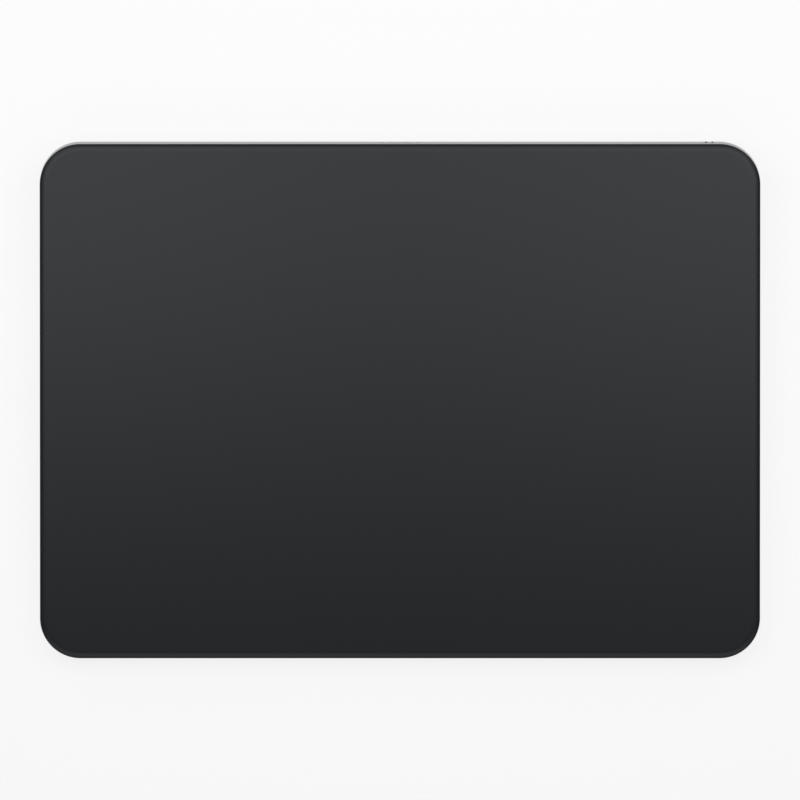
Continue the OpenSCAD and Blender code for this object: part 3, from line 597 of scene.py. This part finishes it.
def shear_pad(corner):
    """An elastomer pad that shears between the carrier and the touch plate."""
    node = f"shear_pad_{corner}"
    low, high = tilted_box(node)
    middle = (low + high) / 2
    bottom = tilt @ Vector((middle.x, middle.y, low.z))
    top = tilt @ Vector((middle.x, middle.y, high.z))
    mesh = node_mesh(node)
    cut_across(mesh, press_axis, bottom, top, PAD_SPANS)
    smooth_faces(mesh)
    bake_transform(add_piece(f"{node}_soft", mesh, node))


def sensor_flex():
    """The flat cable's half turn, cut at its middle into a lower and an upper half."""
    low, high = tilted_box("sensor_flex")
    middle = (low + high) / 2
    bottom, halfway, top = (tilt @ Vector((middle.x, middle.y, z)) for z in (low.z, middle.z, high.z))
    halves = (
        ("lower", bottom, halfway, "housing", "carrier"),
        ("upper", halfway, top, "carrier", "touch_plate"),
    )
    for half, start, end, below, above in halves:
        mesh = node_mesh("sensor_flex")
        cut(mesh, halfway, press_axis, clear_outer=half == "lower", clear_inner=half == "upper")
        bmesh.ops.holes_fill(mesh, edges=[e for e in mesh.edges if e.is_boundary])
        smooth_faces(mesh)
        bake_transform(add_piece(f"sensor_flex_{half}", mesh, "sensor_flex"))


for corner, side in CORNERS:
    leaf(corner, side)
    gauge(corner, side)
    shear_pad(corner)
sensor_flex()


# Pieces whose edges are broken, with the width taken off in millimetres

SOFT_EDGES = {
    "housing": 0.1,
    "base_cover": 0.08,
    "power_knob": 0.08,
    "charge_port_shell": 0.07,
    "charge_port_tongue": 0.06,
    "charge_port_contacts": 0.015,
    "carrier_frame": 0.05,
    "haptic_bracket": 0.05,
    "haptic_core": 0.05,
    "haptic_armature": 0.05,
    "haptic_coil_left": 0.25,
    "haptic_coil_middle": 0.25,
    "haptic_coil_right": 0.25,
    "battery_cell": 0.5,
    "battery_guard_board": 0.08,
    "shield_radio": 0.06,
    "shield_power": 0.06,
    "antenna": 0.06,
    "touch_controller": 0.06,
    "force_processor": 0.06,
    "logic_chips": 0.06,
    "logic_passives": 0.05,
    "sensor_passives": 0.05,
    "sensor_flex_socket": 0.06,
    "logic_flex_socket": 0.06,
    "haptic_lead_socket": 0.06,
    "battery_socket": 0.06,
    "power_switch_body": 0.08,
    "switch_stylus": 0.06,
}
for name, width in SOFT_EDGES.items():
    soften(name, BODIES[name], width)


# Stage, light and camera

PAD_MIDDLE = (0, 0, 0)
OVERHEAD_PLACE = (0.15, 0.12, 0.28)
OVERHEAD_SIZE = (0.275, 0.3)
OVERHEAD_LEVEL = 1.65
SIDE_PLACE = (0.7, 0.7, 0.28)
SIDE_SIZE = (0.9, 0.25)
SIDE_LEVEL = 1.6
FILL_PLACE = (0, -0.95, 0.9)
FILL_SIZE = (2.4, 0.7)
FILL_LEVEL = 0.93
WORLD_LEVEL = 0.16
FLOOR_SIZE = 6
FLOOR_TONE = 0.96
FLOOR_GLOW = 0.8


def softbox(name, place, aim, size, radiance):
    """A rectangular lamp whose face has that radiance."""
    light = bpy.data.lights.new(name, "AREA")
    light.shape = "RECTANGLE"
    light.size, light.size_y = size
    light.energy = radiance * math.pi * size[0] * size[1]
    lamp = bpy.data.objects.new(name, light)
    lamp.location = place
    lamp.rotation_euler = (Vector(aim) - Vector(place)).to_track_quat("-Z", "Y").to_euler()
    scene.collection.objects.link(lamp)


def studio():
    """Two softboxes over the rear, two low ones behind, a wide fill in front and a dim surround."""
    for name, side in SIDES:
        x, y, z = OVERHEAD_PLACE
        softbox(f"overhead_{name}", (side * x, y, z), (side * x, y, 0), OVERHEAD_SIZE, OVERHEAD_LEVEL)
        x, y, z = SIDE_PLACE
        softbox(f"side_{name}", (side * x, y, z), PAD_MIDDLE, SIDE_SIZE, SIDE_LEVEL)
    softbox("front_fill", FILL_PLACE, PAD_MIDDLE, FILL_SIZE, FILL_LEVEL)
    world = bpy.data.worlds.new("studio")
    world.use_nodes = True
    background = world.node_tree.nodes["Background"]
    background.inputs["Color"].default_value = (1, 1, 1, 1)
    background.inputs["Strength"].default_value = WORLD_LEVEL
    scene.world = world


def floor():
    """A pale floor that partly glows white to the eye, straight or mirrored, and keeps a soft shadow."""
    pale = (FLOOR_TONE, FLOOR_TONE, FLOOR_TONE, 1)
    finish = Finish("floor", Base_Color=pale, Roughness=0.9, Specular_IOR_Level=0)
    tree = finish.tree
    path = tree.nodes.new("ShaderNodeLightPath").outputs
    seen = combine(tree, "MAXIMUM", path["Is Camera Ray"], path["Is Glossy Ray"])
    seen = combine(tree, "MAXIMUM", seen, path["Is Transmission Ray"])
    glow = spread(tree, seen, low=0, high=FLOOR_GLOW, start=0, end=1)
    mix = tree.nodes.new("ShaderNodeMixShader")
    tree.links.new(glow, mix.inputs["Fac"])
    tree.links.new(finish.shader.outputs["BSDF"], mix.inputs[1])
    tree.links.new(tree.nodes.new("ShaderNodeEmission").outputs["Emission"], mix.inputs[2])
    tree.links.new(mix.outputs["Shader"], tree.nodes["Material Output"].inputs["Surface"])
    bpy.ops.mesh.primitive_plane_add(size=FLOOR_SIZE)
    plane = bpy.context.object
    plane.name = "floor"
    plane.data.materials.append(finish.material)


# The photograph is 800 px wide and shows 4.5 px a millimetre, from a long way above
PHOTO_W = 800
PX_PER_M = 4503
LENS = 1400
SENSOR = 36
LEAN = math.radians(0.9)
TARGET = Vector((0, 0.07, 8)) * MM
CLIP_END = 100


def photo_camera():
    """A long lens over the pad, a little to the rear of its middle."""
    distance = LENS / SENSOR * PHOTO_W / PX_PER_M
    data = bpy.data.cameras.new("camera")
    data.lens = LENS
    data.sensor_width = SENSOR
    data.clip_end = CLIP_END
    camera = bpy.data.objects.new("camera", data)
    camera.location = TARGET + distance * Vector((0, math.sin(LEAN), math.cos(LEAN)))
    camera.rotation_euler = (-LEAN, 0, 0)
    scene.collection.objects.link(camera)
    scene.camera = camera


studio()
floor()
photo_camera()
scene.view_settings.view_transform = "Standard"
